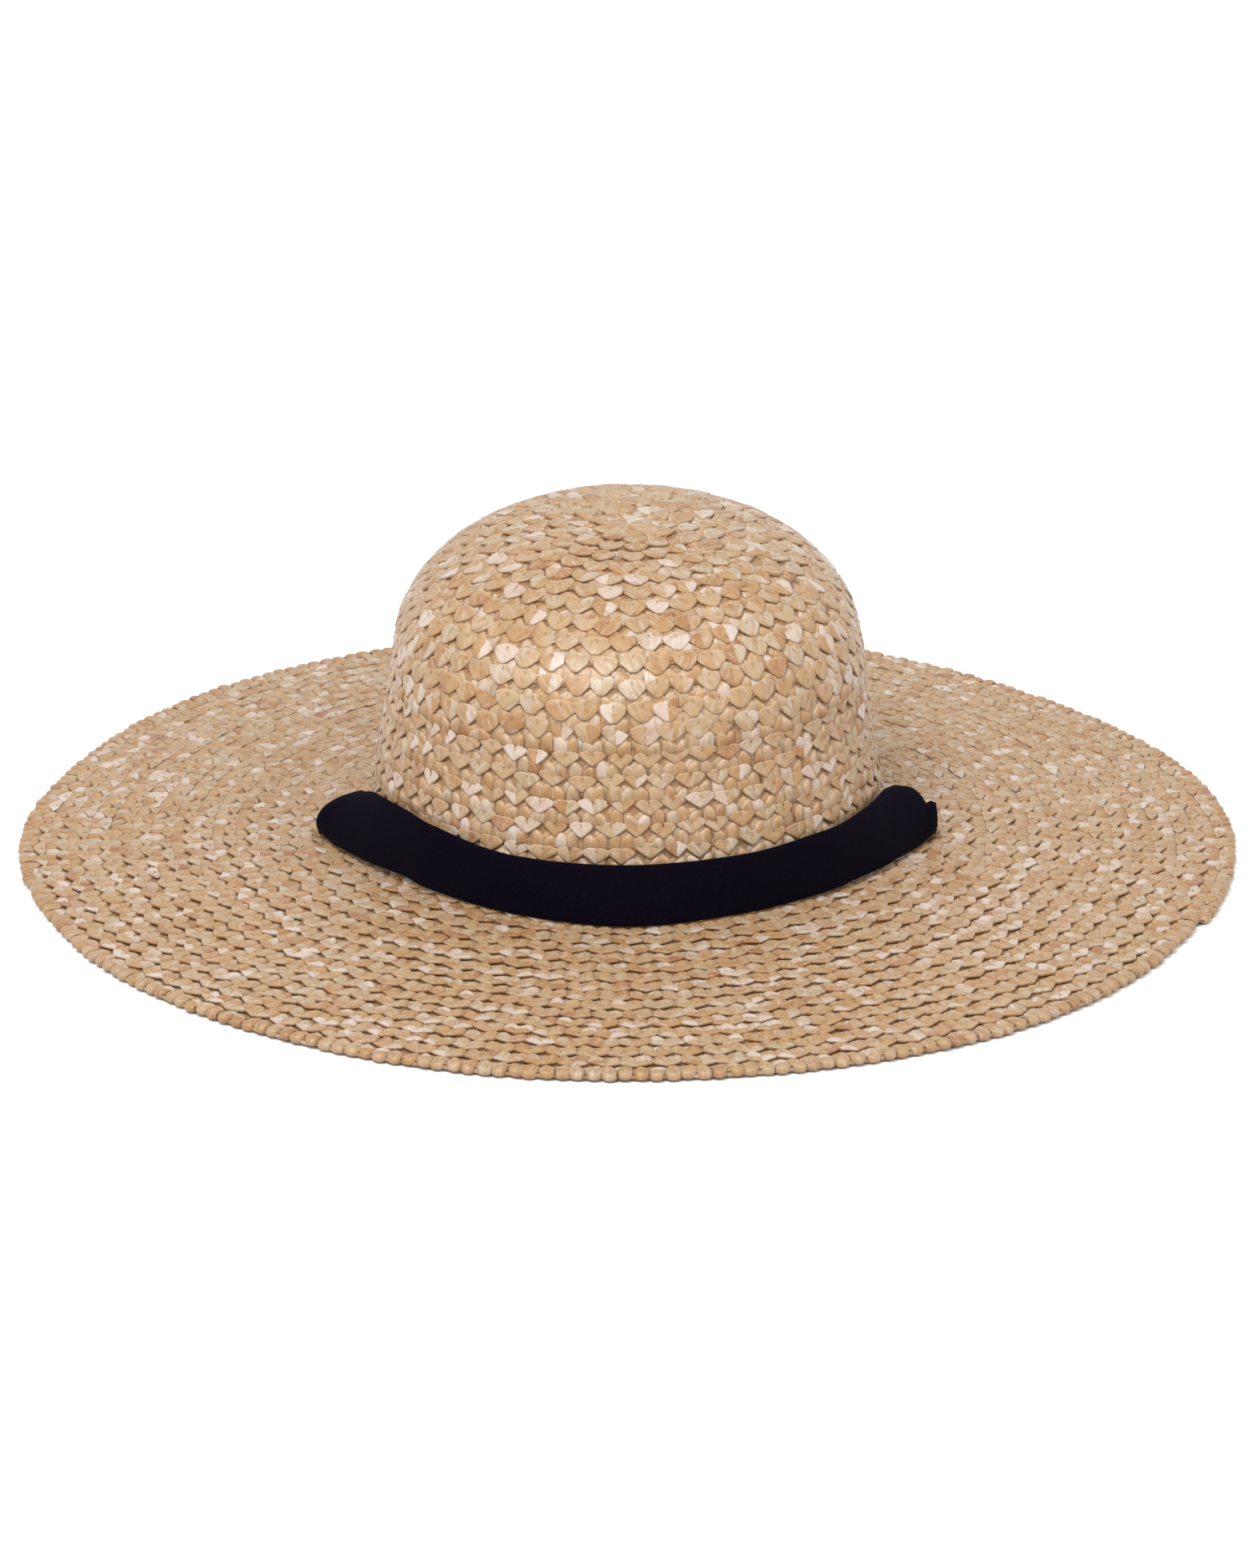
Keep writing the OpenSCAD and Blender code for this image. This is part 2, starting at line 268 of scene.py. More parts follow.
def facet_points(shape, centre, width, pitch, tooth, wobble, scale=False):
    """Across, along and up of the facet that covers the foot of two petals. A scale is the
    six-sided facet of the dome."""
    x, y, skirt, _ = shape
    dx, dy, dz, wider, tilt = wobble[:, :, None]
    ax = np.abs(x)
    fold = np.clip((y - 0.86) / 0.14, 0, 1) ** 2
    if scale:
        low = pitch + tooth * (0.45 - 0.95 * np.clip(ax - 0.25, 0, 1) / 0.75)
        top = pitch - 5.9 * MM + 1.8 * MM * ax ** 3
        body = 0.5 - 0.12 * ax ** 2.5 - 0.2 * (1 - smooth(y, 0.0, 0.4)) - 0.15 * fold
    else:
        low = pitch + tooth * (0.5 - 1.02 * (np.sqrt(x ** 2 + 0.015) - 0.1))
        shoulders = -0.65 - 0.4 * np.sin(math.pi * ax.clip(0, 1)) + 1.2 * ax ** 4
        top = pitch - 0.8 * tooth + shoulders * MM
        lap = 0.34 + 0.4 * np.exp(-((ax - 0.5) / 0.3) ** 2)
        groove = np.exp(-(x / 0.05) ** 2)
        hole = np.exp(-(x / 0.08) ** 2 - ((y - 0.2) / 0.08) ** 2)
        body = lap + (0.6 - lap) * smooth(y, 0.0, 0.6)
        body = body - 0.1 * ax ** 4 - 0.2 * fold - 0.08 * groove - 0.3 * hole
    half = width / 2 * (1.05 - 0.05 * y)
    across = centre[:, None] + (half * x)[None] * (1 + wider) + dx
    along = (top + (low - top) * y)[None] + dy
    up = body[None] * MM + dz + tilt * x[None] - skirt * np.where(y < 0.5, 0.35, 0.6) * MM
    return across, along, up


# The plait's outer edge, from the top over the rim of the hat to its underside.
EDGE_LINE = np.array([(-5.8, 0.4), (-4.9, 1.4), (-3.5, 1.75), (-1.6, 1.7), (-0.7, 1.4), (-0.2, 0.7),
                      (-0.15, -0.2), (-0.6, -0.95), (-1.5, -1.4), (-3.2, -1.6)]) * MM
EDGE = grid_patch([-1, -0.85, -0.5, 0, 0.5, 0.85, 1], np.linspace(0, 1, len(EDGE_LINE)))
EDGE_ALONG, EDGE_UP = EDGE_LINE[np.rint(EDGE[1] * (len(EDGE_LINE) - 1)).astype(int)].T


def edge_points(centre, side, width, pitch, wobble):
    """Across, along and up of the folds that form the edge of the brim."""
    x = EDGE[0]
    dx, dy, dz, wider, _ = wobble[:, :, None]
    notch = (1 - x[None] * side[:, None]) / 2
    nip = 1.5 * MM * np.abs(x)[None] ** 2.4 + 0.9 * MM * notch ** 4
    reach = np.clip((EDGE_ALONG / MM + 4) / 4, 0, 1)
    swell = 1 - 0.36 * np.abs(x) ** 2.6
    across = centre[:, None] + width / 4 * 1.01 * x[None] * (1 + wider) + dx
    along = pitch + EDGE_ALONG[None] - nip * reach[None] + dy * 1.1
    up = (EDGE_UP * swell)[None] + 2.5 * dz
    return across, along, up


def tail_cap_points(length):
    """Across, along from the edge, and up of the rounded fold at the plait's outer end."""
    share = (EDGE[0][None] + 1) / 2      # 0 where it joins the plait, 1 at its tip
    shrink = np.sqrt(1 - share.clip(0, 0.98) ** 2)
    tip = -1.9 * MM
    across = length - 0.8 * MM + 3.6 * MM * share
    return across, tip + (EDGE_ALONG[None] - tip) * shrink, EDGE_UP[None] * shrink * 1.12


def wobbles(n, size):
    """Shifts across, along and up, a share of the width, and a tilt, for n straws."""
    spread = np.array([0.4 * MM, 0.42 * MM, 0.08 * MM, 0.06, 0.08 * MM])[:, None] * size
    return rng.normal(0, 1, (5, n)).clip(-1.8, 1.8) * spread


class Patches:
    """Gathers the patches of one piece, with tone, fibre and painted shade and highlight per point."""

    def __init__(self):
        self.points, self.faces, self.tone, self.fibre, self.painted_light = [], [], [], [], []
        self.count = 0

    def add(self, points, faces, tone, fibre, painted_light):
        """Adds patches: points, faces that count from 0, and what the straw has there."""
        self.points.append(points.reshape(-1, 3))
        self.faces.append(faces + self.count)
        self.tone.append(np.broadcast_to(tone, points.shape[:-1]).ravel())
        self.fibre.append(fibre.reshape(-1, 3))
        self.painted_light.append(np.broadcast_to(painted_light, points.shape[:-1]).ravel())
        self.count += points[..., 0].size

    def piece(self, name, node):
        """Makes one straw object of them all, which stands for that CAD node."""
        points, faces = cut_slits(np.concatenate(self.points), np.concatenate(self.faces))
        points[:, 2] = points[:, 2].clip(0.15 * MM)          # above the ground
        # the straw's painted shade (above 0) and painted highlight (below 0) go in an attribute of
        # their own
        obj = add_mesh(name, points, faces, [
            ("tone", "FLOAT", np.concatenate(self.tone)),
            ("fibre", "FLOAT_VECTOR", np.concatenate(self.fibre)),
            ("painted_light", "FLOAT", np.concatenate(self.painted_light))])
        obj.data.materials.append(STRAW)
        return join_hat(obj, "straw_plait", node)


def join_hat(obj, slot, *nodes):
    """obj rides on the hat and stands for those CAD nodes; slot is not used."""
    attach(obj, "root")
    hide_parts(*nodes)
    return obj


# The two slits in the brim that the ribbon goes down through.
FRONT = np.array([0, -HALF_STRETCH])
SLIT_TURN = math.radians(86)
SLIT_R = (97.2 * MM, 113.0 * MM)
SLIT_HALF = 1.5 * MM


def slit_axes(side):
    """Directions along and across the slit at the wearer's left, side 1, or right, side -1."""
    angle = -math.pi / 2 + side * SLIT_TURN
    along = np.array([math.cos(angle), math.sin(angle)])
    return along, np.array([-along[1], along[0]])


def cut_slits(points, faces):
    """Opens the slits in the straw: faces over a slit go, and points in it move to its edges."""
    for side in (-1, 1):
        along, across = slit_axes(side)
        flat = points[:, :2] - FRONT
        u, t = flat @ along, flat @ across
        near = (u > SLIT_R[0]) & (u < SLIT_R[1]) & (np.abs(t) < 8 * MM)
        fu, ft = u[faces], t[faces]
        spans = near[faces].any(1) & (ft.min(1) < 0) & (ft.max(1) > 0)
        spans &= (fu.mean(1) > SLIT_R[0]) & (fu.mean(1) < SLIT_R[1])
        faces = faces[~spans]
        push = np.where(near & (np.abs(t) < SLIT_HALF), np.sign(t) * SLIT_HALF - t, 0)
        points[:, :2] += push[:, None] * across[None]
    return points, faces


def clear_of_slits(lines):
    """The stitches that don't cross a slit."""
    keep = np.ones(len(lines), bool)
    for side in (-1, 1):
        along, across = slit_axes(side)
        flat = lines.mean(1)[:, :2] - FRONT
        u, t = flat @ along, flat @ across
        keep &= (np.abs(t) > 3 * MM) | (u < SLIT_R[0]) | (u > SLIT_R[1])
    return lines[keep]


SPIRAL_TURNS = 27         # up to here the turns form an even spiral,
STEPPED_TURNS = 35        # and from here they are rings that step out to the next one
JOG = 0.14                # share of a turn in which the outer turns step out to the next one
TAIL_STEP = 2.4 * MM      # how far the plait's outer end stands out of the edge
TAIL_WIDTH = 0.62         # its width there, as a share of a full turn
TUCK = 1.6 * MM           # how far the layers stay behind the edge
# The straws of the brim and of the crown: width of a facet, length of its tooth, unevenness and
# strength of the painted shade and highlight.
BRIM_STRAW = (10.8 * MM, 2.9 * MM, 1.0, 1.0)
CROWN_STRAW = (9.4 * MM, 3.8 * MM, 1.45, 1.5)
INSIDE_UNEVEN = 0.75      # the unevenness on the inside of the hat
INSIDE_HEIGHT = 0.75      # how high its straws stand, as a share of the outside's
DOME_PETALS = 0.35        # and how high the petals of the dome stand on its outside
STITCHES = {"crown": [], "brim": []}
# A stitch across a seam: its points along the plait's width and up from the straw.
STITCH_ALONG = np.array([-1.0, -0.7, -0.25, 0.25, 0.7, 1.0]) * 0.55 * MM
STITCH_UP = np.array([-0.7, 0.0, 0.28, 0.28, 0.0, -0.7]) * MM


def petal_painted_light(shape):
    """The painted light of a petal: a painted highlight on its crest, and painted shade towards its
    sides, at its foot under the next turn and on its skirt.
    """
    x, y, skirt, _ = shape
    crest_highlight = np.exp(-((y - 0.15) / 0.12) ** 2)
    return (0.22 * np.abs(x) ** 3 + 0.3 * y ** 2 - 0.25 * crest_highlight + 0.35 * skirt)[None]


def facet_tones(shape, units):
    """A tone for each half of a facet, and its painted light: a painted highlight on its rim, and
    painted shade in its needle hole, at its folded lower edge, at its corners and on its skirt.
    """
    x, y, skirt, _ = shape
    left, right = rng.random((2, units, 1))
    right = np.where(rng.random((units, 1)) < 0.8, right, left)
    painted_highlight = np.exp(-((y - 0.06) / 0.06) ** 2)
    hole = np.exp(-(x / 0.07) ** 2 - ((y - 0.2) / 0.07) ** 2)
    corner = smooth(np.abs(x), 0.84, 1.0) * smooth(y, 0.3, 0.9)
    painted_light = 0.9 * hole - 0.25 * painted_highlight + 0.35 * np.clip((y - 0.9) / 0.1, 0, 1) + 0.7 * corner
    painted_light = np.where(skirt > 0, 0.2 + 0.8 * (y > 0.3), painted_light)
    return np.where(x[None] < 0, left, right), painted_light[None]


class Turn:
    """One turn of the sewn plait: straws on its outside and on its inside, on a plain layer."""

    def __init__(self, i):
        self.i = i
        self.s0, s1 = float(turn_s(i)), float(turn_s(i + 1))
        self.pitch = s1 - self.s0
        edge_r = float(off(s1, 0)[0])
        self.r0 = max(edge_r - self.pitch * 0.3, 3 * MM)
        self.length = 2 * math.pi * self.r0 + 4 * HALF_STRETCH
        self.dome = i < DOME_TURNS
        self.brim = i >= DOME_TURNS + SIDE_TURNS
        self.last = i == TURNS - 1
        straw = BRIM_STRAW if self.brim else CROWN_STRAW
        facet_width, self.tooth, self.uneven, self.depth = straw
        self.n = max(int(round((2 * math.pi * edge_r + 4 * HALF_STRETCH) / facet_width)), 7)
        self.width = self.length / self.n
        stepped = (i - SPIRAL_TURNS) / (STEPPED_TURNS - SPIRAL_TURNS)
        self.stepped = min(max(stepped, 0), 1)
        self.main, self.tail = Patches(), Patches()

    def edge_s(self, p):
        """Distance along the hat's line of the brim's edge, at share p of the turn."""
        step = TAIL_STEP if self.i >= TURNS - 2 else 0
        return PATH_LEN + step * smooth(p, 1 - JOG, 1)

    def to_s(self, along, p):
        """Distance along the hat's line of a place across the plait, at share p of the turn.
        The last turn narrows towards its end."""
        step = smooth(p, 1 - JOG, 1)
        if self.last:
            return self.edge_s(p) - (self.pitch - along) * (1 - (1 - TAIL_WIDTH) * step)
        return self.s0 + along + self.pitch * ((1 - self.stepped) * p + self.stepped * step)

    def add(self, shape, pts, lift, tilt, under, tone=None, painted_light=None, lean=0.12):
        """Places patches. pts is across, along and up. lift is the layer's height at its start
        and tilt what it gains over the plait's width. under is true on the inside.
        lean is how far the fibres lean, in radians."""
        across, along, up = pts
        units, nv = across.shape
        share = np.mod(across.mean(1) / self.length, 1.0)[:, None]
        s = self.to_s(self.pitch - along if under else along, share)
        if shape is not EDGE:
            s = np.minimum(s, self.edge_s(share) - TUCK)
        height = (lift + tilt * along / self.pitch + up) * (-1 if under else 1)
        p = place(s, height, across / self.length, self.r0)
        if tone is None:
            tone = rng.random((units, 1))
        lean = rng.choice([-1, 1], units) * rng.uniform(0.6, 1.3, units) * lean
        a, b = np.cos(lean)[:, None], np.sin(lean)[:, None]
        x = (across - across.mean(1, keepdims=True)) / MM
        y = (along - along.mean(1, keepdims=True)) / MM
        seed = rng.uniform(0, 40, (units, 1))
        fibre = np.stack([a * y + b * x, a * x - b * y, seed + 0 * x], -1)
        if painted_light is None:
            painted_light = petal_painted_light(shape)
        tone = np.broadcast_to(tone, (units, nv))
        # painted shade and highlight, stronger on the crown than on the brim
        painted_light = np.broadcast_to(painted_light * self.depth, (units, nv))
        in_tail = self.last & (share[:, 0] > 1 - JOG)
        for gather, chosen in ((self.main, ~in_tail), (self.tail, in_tail)):
            m = int(np.sum(chosen))
            if m == 0:
                continue
            faces = (shape[3][None] + (np.arange(m) * nv)[:, None, None]).reshape(-1, 4)
            faces = faces if under else faces[:, ::-1]
            gather.add(p[chosen], faces, tone[chosen], fibre[chosen], painted_light[chosen])

    def add_petals(self, centres, side, size, lift, tilt, under):
        """The petals on one side of the facets, and the edge of the brim on the last turn."""
        n, width, pitch = self.n, self.width, self.pitch
        sides = np.full(n, side)
        wobble, c = wobbles(n, size), centres + side * width / 4
        if not under:                    # the lower layer, seen in the gaps between the others
            across, along, up = petal_points(UNDER_PETAL, c + width / 8, sides, width * 1.1, pitch,
                                             wobble, 0.4)
            lower = (across, along - 1.3 * MM, up)
            self.add(UNDER_PETAL, lower, lift - 0.25 * MM, tilt, False)
        shape = UNDER_PETAL if under else PETAL
        height = DOME_PETALS if self.dome and not under else 1.0
        across, along, up = petal_points(shape, c, sides, width, pitch, wobble, height)
        self.add(shape, (across, along, up * (INSIDE_HEIGHT if under else 1)), lift, tilt, under)
        if self.last and not under:
            pts = edge_points(c, -sides, width, pitch, wobbles(n, 0.6))
            # painted light of the edge: a little darker throughout, with painted shade between its
            # folds and on its underside
            painted_light = 0.1 + 0.35 * np.abs(EDGE[0]) ** 4 + 0.3 * smooth(EDGE[1], 0.5, 0.8)
            self.add(EDGE, pts, 0, 0, False, 0.78 * rng.random((n, 1)), painted_light[None])

    def add_facets(self, centres, size, lift, tilt, under):
        """The row of facets, with a stitch at the top middle of each."""
        n, width, pitch, length = self.n, self.width, self.pitch, self.length
        scale = self.dome and not under
        wobble = wobbles(n, size)
        shape = UNDER_FACET if under else FACET
        tone, painted_light = facet_tones(shape, n)
        across, along, up = facet_points(shape, centres, width, pitch, self.tooth, wobble, scale)
        pts = (across, along, up * (INSIDE_HEIGHT if under else 1))
        self.add(shape, pts, lift, tilt, under, tone, painted_light, 0.6)

        across = (centres + wobble[0])[:, None]
        along = pitch - (4.2 if scale else 1.8) * MM + STITCH_ALONG[None] + wobble[1][:, None]
        share = np.mod(across / length, 1.0)
        s = self.to_s(pitch - along if under else along, share)
        height = lift + tilt * along / pitch + (0.35 if under else 0.2) * MM + STITCH_UP[None]
        line = place(s, height * (-1 if under else 1), across / length + 0 * s, self.r0)
        line[..., 2] = line[..., 2].clip(0.4 * MM)           # above the ground
        STITCHES["brim" if self.brim else "crown"].append(line)

    def add_straws(self, under):
        """The straws of one face of the plait."""
        size = INSIDE_UNEVEN if under else self.uneven
        lift = (0.35 if under else 0.5) * MM
        tilt = (0.65 if under else 0.3 if self.dome else 0.6) * MM
        centres = (np.arange(self.n) + rng.uniform(0, 1)) * self.width
        for side in (-1, 1):
            self.add_petals(centres, side, size, lift, tilt, under)
        if under or not self.last:
            self.add_facets(centres, size, lift, tilt, under)

    def add_plain_layer(self):
        """The plain layer between the two faces, which closes the gaps. It carries painted shade, as
        it is seen only in the gaps.
        """
        pitch = self.pitch
        cols = self.n * 3 + 1
        phi = np.linspace(0, 1, cols)[None]
        along = np.array([-2.5 * MM, pitch * 0.5, pitch - 1.8 * MM])[:, None] + 0 * phi
        idx = np.arange(along.size).reshape(along.shape)
        quads = np.stack([idx[:-1, :-1], idx[:-1, 1:], idx[1:, 1:], idx[1:, :-1]], -1).reshape(-1, 4)
        for face in (1, -1):
            s = self.to_s(along if face > 0 else pitch - along, phi)
            s = np.minimum(s, self.edge_s(phi) - TUCK)
            height = face * (0.3 * MM + 0.75 * MM * along / pitch)
            p = place(s.clip(0), height, phi + 0 * s, self.r0)
            fibre = np.stack([phi * self.length / MM + 0 * s, s / MM, 0 * s], -1)
            self.main.add(p, quads[:, ::-1] if face > 0 else quads, 0.3, fibre, 0.45)

    def add_tail_cap(self):
        """The fold that closes the plait's outer end."""
        across, along, up = tail_cap_points(self.length)
        s = PATH_LEN + TAIL_STEP + 1.02 * along
        fibre = np.stack([(self.pitch + along) / MM, across / MM, 0 * across], -1)
        points = place(s, up, across / self.length, self.r0)
        self.tail.add(points, EDGE[3][:, ::-1], 0.1, fibre, 0.15)

    def build(self):
        """Makes the turn's piece, and the last turn's tail as a piece of its own."""
        self.add_straws(False)
        if self.i > 0:
            self.add_straws(True)
        self.add_plain_layer()
        zone = next(name for end, name in ZONE_ENDS if self.i < end)
        if self.last:
            self.add_tail_cap()
        self.main.piece(f"plait_turn_{self.i + 1:02d}", zone)
        if self.last:
            self.tail.piece("plait_tail_end", "plait_tail")


def build_start():
    """The coiled start of the plait, at the middle of the crown: seven folds in a swirl."""
    parts = Patches()
    folds = 7
    ring = np.linspace(0, 2 * math.pi, 48, endpoint=False)
    radii = np.array([0.05, 1.4, 3.0, 4.6, 6.2, 8.4, 11.0])[:, None] * MM
    rise = np.array([1.55, 1.5, 1.4, 1.25, 0.95, 0.6, 0.1])[:, None] * MM
    swirl = ring[None] - radii / (9 * MM)
    fold = np.abs(np.sin(swirl * folds / 2))
    r = radii * (1 + 0.03 * fold)
    z = off(0.0, 0)[1] + rise + 0.3 * MM * fold * np.minimum(radii / (3 * MM), 1)
    c, sn = np.cos(ring)[None], np.sin(ring)[None]
    points = warp(np.stack([r * c, r * sn, z], -1))
    idx = np.arange(fold.size).reshape(fold.shape)
    nxt = np.roll(idx, -1, 1)
    quads = np.stack([idx[:-1], idx[1:], nxt[1:], nxt[:-1]], -1).reshape(-1, 4)
    tone = np.repeat(rng.random(folds), len(ring) // folds + 1)[:len(ring)]
    fibre = np.stack([radii / MM + 0 * c, swirl * 3, 0 * swirl], -1)
    # painted shade in the creases between the folds
    painted_light = (1 - fold.clip(0, 0.25) * 4) * 0.7
    parts.add(points, quads, tone[None], fibre, painted_light)
    parts.piece("plait_start", "crown_button")


# ---------------------------------------------------------------- thread and cloth
SIDES = 6                 # of a thread


def tubes(name, lines, radius):
    """Closed threads along lines, an array of lines by points by 3."""
    lines = np.asarray(lines)
    n, k, _ = lines.shape
    t = np.gradient(lines, axis=1)
    t /= np.linalg.norm(t, axis=2, keepdims=True)
    nudge = [0.013, 0.007, 0.003]        # so that a straight thread has a side too
    ref = np.cross(t[:, 0], t[:, k // 2] + nudge)[:, None]
    ref = ref / np.linalg.norm(ref, axis=2, keepdims=True)
    b = np.cross(t, ref)
    b /= np.linalg.norm(b, axis=2, keepdims=True)
    a = np.cross(b, t)
    ang = np.arange(SIDES) * 2 * math.pi / SIDES
    size = np.full(k, radius)
    size[[0, -1]] *= 0.6
    ring = (a[:, :, None] * np.cos(ang)[:, None] + b[:, :, None] * np.sin(ang)[:, None])
    points = lines[:, :, None] + ring * size[None, :, None, None]
    idx = np.arange(k * SIDES).reshape(k, SIDES)
    nxt = np.roll(idx, -1, 1)
    quads = np.stack([idx[:-1], nxt[:-1], nxt[1:], idx[1:]], -1).reshape(-1, 4)
    first, final = idx[0], idx[-1]
    # two faces close each end
    caps = np.array([first[[3, 2, 1, 0]], first[[5, 4, 3, 0]],
                     final[[0, 1, 2, 3]], final[[0, 3, 4, 5]]])
    quads = np.concatenate([quads, caps])
    faces = (quads[None] + (np.arange(n) * k * SIDES)[:, None, None]).reshape(-1, 4)
    return add_mesh(name, points.reshape(-1, 3), faces)


def cloth(name, grid, thickness, closed=False):
    """A strip of cloth round a grid of points, columns along by rows across."""
    nc, nr, _ = grid.shape
    if closed:
        du = np.roll(grid, -1, 0) - np.roll(grid, 1, 0)
    else:
        du = np.gradient(grid, axis=0)
    dv = np.gradient(grid, axis=1)
    normal = np.cross(du, dv)
    normal /= np.linalg.norm(normal, axis=2, keepdims=True)
    half = np.full(nr, thickness / 2)
    half[[0, -1]] *= 0.75
    top, low = grid + normal * half[None, :, None], grid - normal * half[None, :, None]
    out = 0.5 * thickness * dv / np.linalg.norm(dv, axis=2, keepdims=True)
    ring = np.concatenate([top, grid[:, -1:] + out[:, -1:], low[:, ::-1], grid[:, :1] - out[:, :1]], 1)
    m = ring.shape[1]
    idx = np.arange(nc * m).reshape(nc, m)
    nxt = np.roll(idx, -1, 1)
    if closed:
        far, far_nxt = np.roll(idx, -1, 0), np.roll(nxt, -1, 0)
        quads = np.stack([idx, far, far_nxt, nxt], -1).reshape(-1, 4)
    else:
        quads = np.stack([idx[:-1], idx[1:], nxt[1:], nxt[:-1]], -1).reshape(-1, 4)
        j = np.arange(nr - 1)
        for column, turn in ((0, 1), (-1, -1)):
            a = idx[column]
            cap = np.stack([a[j], a[j + 1], a[2 * nr - j - 1], a[2 * nr - j]], -1)
            quads = np.concatenate([quads, cap[:, ::turn]])
    return add_mesh(name, ring.reshape(-1, 3), quads)


def across_strip(points, rows):
    """A smooth line through points, at rows from 0 to 1 of its length."""
    points = np.asarray(points, float)
    ends = np.concatenate([[2 * points[0] - points[1]], points, [2 * points[-1] - points[-2]]])
    step = np.concatenate([[0], np.cumsum(np.linalg.norm(np.diff(points, axis=0), axis=1))])
    out = []
    for share in rows:
        where = share * step[-1]
        j = min(np.searchsorted(step, where, "right") - 1, len(points) - 2)
        t = (where - step[j]) / (step[j + 1] - step[j])
        p0, p1, p2, p3 = ends[j:j + 4]
        out.append(0.5 * (2 * p1 + (p2 - p0) * t + (2 * p0 - 5 * p1 + 4 * p2 - p3) * t ** 2
                          + (3 * p1 - p0 - 3 * p2 + p3) * t ** 3))
    return np.array(out)


# The velvet ribbon's cross-sections: degrees from the front, then radius and height in mm from
# its upper edge to its lower one. From 84 degrees it goes down through its slit, and then it
# folds back under the brim.
RIBBON = [
    (0, (96.2, 31.0), (96.8, 25.6), (97.5, 20.1), (98.3, 14.8), (98.9, 10.0)),
    (25, (95.5, 31.2), (96.0, 25.8), (96.4, 20.2), (96.3, 14.7), (96.2, 10.3)),
    (45, (94.6, 33.2), (95.9, 27.6), (97.0, 21.8), (97.8, 15.8), (98.2, 10.4)),
    (54, (94.4, 33.9), (96.3, 28.2), (98.0, 22.4), (99.3, 16.3), (99.9, 10.6)),
    (64, (94.2, 33.4), (97.0, 27.9), (99.4, 22.3), (101.2, 16.4), (102.0, 10.7)),
    (70, (94.0, 32.4), (97.6, 27.4), (100.6, 22.0), (102.6, 16.3), (103.2, 10.8)),
    (76, (93.8, 31.2), (98.8, 27.2), (102.8, 22.0), (104.9, 16.3), (105.4, 10.9)),
    (80, (94.6, 29.9), (100.6, 26.7), (105.2, 22.0), (107.3, 16.6), (107.5, 11.4)),
    (84, (96.6, 28.0), (103.2, 25.4), (108.6, 21.6), (110.9, 16.9), (110.7, 13.0)),
    (86, (97.4, 22.5), (103.3, 21.0), (108.0, 17.8), (110.6, 14.0), (110.6, 11.6)),
    (86, (99.0, 13.5), (101.8, 13.0), (104.8, 12.2), (108.2, 10.9), (110.4, 9.4)),
    (86, (99.0, 8.0), (101.7, 7.9), (104.6, 7.7), (108.0, 7.4), (111.2, 7.0)),
    (86, (99.0, 4.6), (101.8, 4.6), (104.8, 4.5), (108.3, 4.3), (111.8, 4.1)),
    (83.5, (98.2, 3.4), (101.6, 3.4), (105.0, 3.3), (108.7, 3.2), (112.4, 3.1)),
    (76, (94.4, 3.3), (98.8, 3.2), (103.2, 3.2), (107.6, 3.1), (112.0, 3.0)),
    (68.5, (94.2, 3.4), (98.6, 3.3), (103.0, 3.2), (107.4, 3.1), (111.8, 3.0)),
]
ABOVE_BRIM = 10           # how many of the cross-sections lie above the brim
RIBBON_ROWS = np.linspace(0, 1, 13)
VELVET_T = 0.9 * MM


def ribbon_section(index, side):
    """A cross-section of the ribbon at the wearer's left, side 1, or right, side -1, in mm."""
    angle, *points = RIBBON[index]
    rows = RIBBON_ROWS
    line = across_strip(points, rows)
    if index < ABOVE_BRIM:
        # the right side stands off the brim, and the left side lies closer to it
        bend = math.exp(-((angle - 55) / 14) ** 2)
        top_up, low_up, low_in = (-2.4, 0.8, 1.0) if side > 0 else (1.3, 2.0, 2.6)
        line[:, 1] += (top_up * (1 - rows) + low_up * rows) * bend
        line[:, 0] -= low_in * rows * bend
        near = smooth(angle, 70, 84)
        if side > 0:                     # the left end folds over itself
            hump = np.exp(-((rows - 0.25) / 0.15) ** 2)
            notch = np.exp(-((rows - 0.5) / 0.06) ** 2)
            corner = np.exp(-((rows - 0.66) / 0.11) ** 2)
            line[:, 1] += (1.5 * hump - 1.5 * notch + 2.2 * corner - 1.7 * rows ** 3) * near
            line[:, 0] += 0.7 * corner * near
        else:
            sag = 2.2 * (1 - rows) ** 2 + 1.8 * rows * (1 - rows) + 1.2 * rows ** 2
            line[:, 1] -= sag * near
    a = -math.pi / 2 + side * math.radians(angle)
    return np.stack([line[:, 0] * math.cos(a), line[:, 0] * math.sin(a), line[:, 1]], 1)


def build_ribbon():
    """One velvet ribbon from the end under the right of the brim to the end under its left."""
    right, left = ([ribbon_section(i, side) for i in range(len(RIBBON))] for side in (-1, 1))
    points = np.array(right[:0:-1] + left) * MM
    points[..., 1] -= HALF_STRETCH
    middle = points[:, len(RIBBON_ROWS) // 2]
    step = np.concatenate([[0], np.cumsum(np.linalg.norm(np.diff(middle, axis=0), axis=1))])
    at = np.concatenate([np.linspace(a, b, max(int((b - a) / (0.9 * MM)), 3), endpoint=False)
                         for a, b in zip(step[:-1], step[1:])] + [[step[-1]]])
    grid = np.array([across_strip(points[:, j], at / step[-1])
                     for j in range(len(RIBBON_ROWS))]).transpose(1, 0, 2)
    # the soft unevenness of the cloth
    x, z = grid[..., 0], grid[..., 2]
    ripple = 0.003 * np.sin(47 * x + 90 * z) * smooth(z, 12 * MM, 18 * MM)
    grid[..., :2] *= (1 + ripple)[..., None]
    obj = cloth("velvet_ribbon", grid, VELVET_T)
    obj.data.materials.append(VELVET)
    return join_hat(obj, "velvet", "ribbon_band", "ribbon_end_left", "ribbon_end_right")


